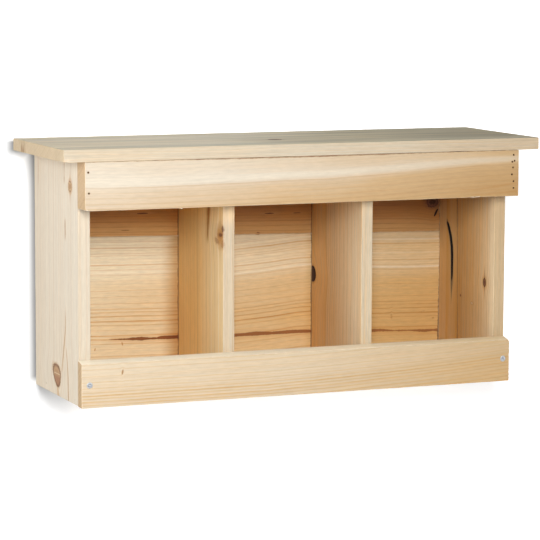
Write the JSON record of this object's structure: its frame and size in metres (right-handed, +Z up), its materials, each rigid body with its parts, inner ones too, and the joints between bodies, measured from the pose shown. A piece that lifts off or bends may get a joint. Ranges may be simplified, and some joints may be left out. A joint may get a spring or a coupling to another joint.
{
  "type": "terrace nest box",
  "caption": "Wall-hung open-fronted wooden nest box: side-by-side bays under an overhanging flat roof, with a thick top rail, a screwed-on lower rail and keyhole hangers behind.",
  "frame": {"origin": "under the middle of the roof's outline, at the level of the box's underside", "axes": "+X to the right along the box as seen from the open front, +Y to the rear towards the wall, +Z up"},
  "size_m": [0.5, 0.165, 0.2485],
  "materials": {
    "wood_roof": "untreated planed softwood, slightly greyed on top",
    "wood_board": "untreated planed softwood with knots",
    "wood_rail": "untreated planed softwood, sapwood and heartwood bands",
    "brad_steel": "dull steel brads",
    "zinc_steel": "bright zinc-plated steel"
  },
  "bodies": {
    "carcass": {"roof_front_board": "wood_roof", "roof_rear_strip": "wood_roof", "back_upper_board": "wood_board", "back_lower_board": "wood_board", "left_side_board": "wood_board", "right_side_front_board": "wood_board", "right_side_rear_strip": "wood_board", "floor_board": "wood_board", "left_divider": "wood_board", "right_divider": "wood_board", "top_front_rail": "wood_rail", "top_rail_brads_left": "brad_steel", "top_rail_brads_right": "brad_steel", "roof_brads_left": "brad_steel", "roof_brads_right": "brad_steel", "roof_brads_middle": "brad_steel", "side_brads_left": "brad_steel", "side_brads_right": "brad_steel", "floor_brads": "brad_steel", "back_brads": "brad_steel", "left_hanger_plate": "zinc_steel", "right_hanger_plate": "zinc_steel", "hanger_screws": "zinc_steel"},
    "lower_rail": {"bottom_front_rail": "wood_rail"},
    "screw_left": {"bottom_rail_screw_left": "zinc_steel"},
    "screw_right": {"bottom_rail_screw_right": "zinc_steel"}
  },
  "joints": [
    {"name": "lower_rail_off", "type": "slide", "parent": "carcass", "child": "lower_rail", "axis": [0, -1, 0], "range_m": [0, 0.06]},
    {"name": "screw_left_out", "type": "slide", "parent": "lower_rail", "child": "screw_left", "axis": [0, -1, 0], "range_m": [0, 0.032]},
    {"name": "screw_right_out", "type": "slide", "parent": "lower_rail", "child": "screw_right", "axis": [0, -1, 0], "range_m": [0, 0.032]}
  ]
}
